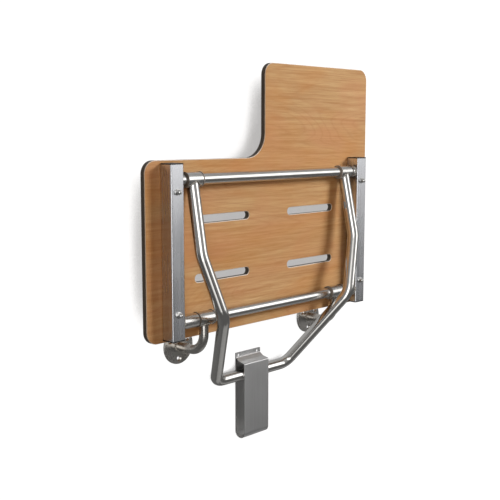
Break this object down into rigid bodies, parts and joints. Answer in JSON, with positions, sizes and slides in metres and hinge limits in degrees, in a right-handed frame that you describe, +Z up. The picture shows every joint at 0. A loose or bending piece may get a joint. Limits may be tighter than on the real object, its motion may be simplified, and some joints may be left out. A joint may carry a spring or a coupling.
{
  "type": "folding shower seat",
  "caption": "Wall-mounted folding shower seat, stowed upright: L-shaped wood-grain top on a stainless frame with a bent tube leg sliding in a wall guide.",
  "frame": {"origin": "on the wall plane, midway between the two screw holes of the foot guide, on the seat's centre line", "axes": "+Z up, +Y into the wall, the room on -Y; the seat folds about an axis along X"},
  "size_m": [0.672, 0.141, 0.8213],
  "materials": {
    "seat_laminate": "satin wood-grain face over a dark core",
    "flat_stainless": "brushed along its length",
    "round_stainless": "satin polished",
    "fastener_steel": "polished",
    "cap_plastic": "moulded black",
    "bush_nylon": "moulded dark nylon"
  },
  "bodies": {
    "wall_mount": {"foot_guide": "flat_stainless", "left_hinge_bush_inner": "bush_nylon", "left_hinge_bush_outer": "bush_nylon", "left_hinge_sleeve": "round_stainless", "left_wall_arm": "round_stainless", "left_wall_flange": "round_stainless", "right_hinge_bush_inner": "bush_nylon", "right_hinge_bush_outer": "bush_nylon", "right_hinge_sleeve": "round_stainless", "right_wall_arm": "round_stainless", "right_wall_flange": "round_stainless"},
    "seat_frame": {"front_cross_tube": "round_stainless", "hinge_cross_tube": "round_stainless", "left_hinge_spacer": "round_stainless", "left_rail": "flat_stainless", "left_rail_bottom_cap": "cap_plastic", "left_rail_top_cap": "cap_plastic", "right_hinge_spacer": "round_stainless", "right_rail": "flat_stainless", "right_rail_bottom_cap": "cap_plastic", "right_rail_top_cap": "cap_plastic", "seat_bolt_washers": "fastener_steel", "seat_bolts": "fastener_steel", "seat_cap_nuts": "fastener_steel", "seat_panel": "seat_laminate"},
    "support_leg": {"left_collar_bush_inner": "bush_nylon", "left_collar_bush_outer": "bush_nylon", "left_leg_collar": "round_stainless", "left_leg_tube": "round_stainless", "right_collar_bush_inner": "bush_nylon", "right_collar_bush_outer": "bush_nylon", "right_leg_collar": "round_stainless", "right_leg_tube": "round_stainless"},
    "foot_slider": {"foot_bar": "round_stainless"}
  },
  "joints": [
    {"name": "seat_fold", "type": "hinge", "parent": "wall_mount", "child": "seat_frame", "pos_m": [0, -0.0809, 0.123], "axis": [1, 0, 0], "range_deg": [0, 92]},
    {"name": "leg_swing", "type": "hinge", "parent": "seat_frame", "child": "support_leg", "pos_m": [0, -0.0809, 0.4], "axis": [1, 0, 0], "range_deg": [-50.27, 0]},
    {"name": "foot_slide", "type": "slide", "parent": "wall_mount", "child": "foot_slider", "axis": [0, 0, -1], "range_m": [0, 0.1306]}
  ],
  "couplings": [
    {"joint": "leg_swing", "follows": "seat_fold", "ratio": -0.54572},
    {"joint": "foot_slide", "follows": "seat_fold", "m_per_rad": 0.081224}
  ]
}
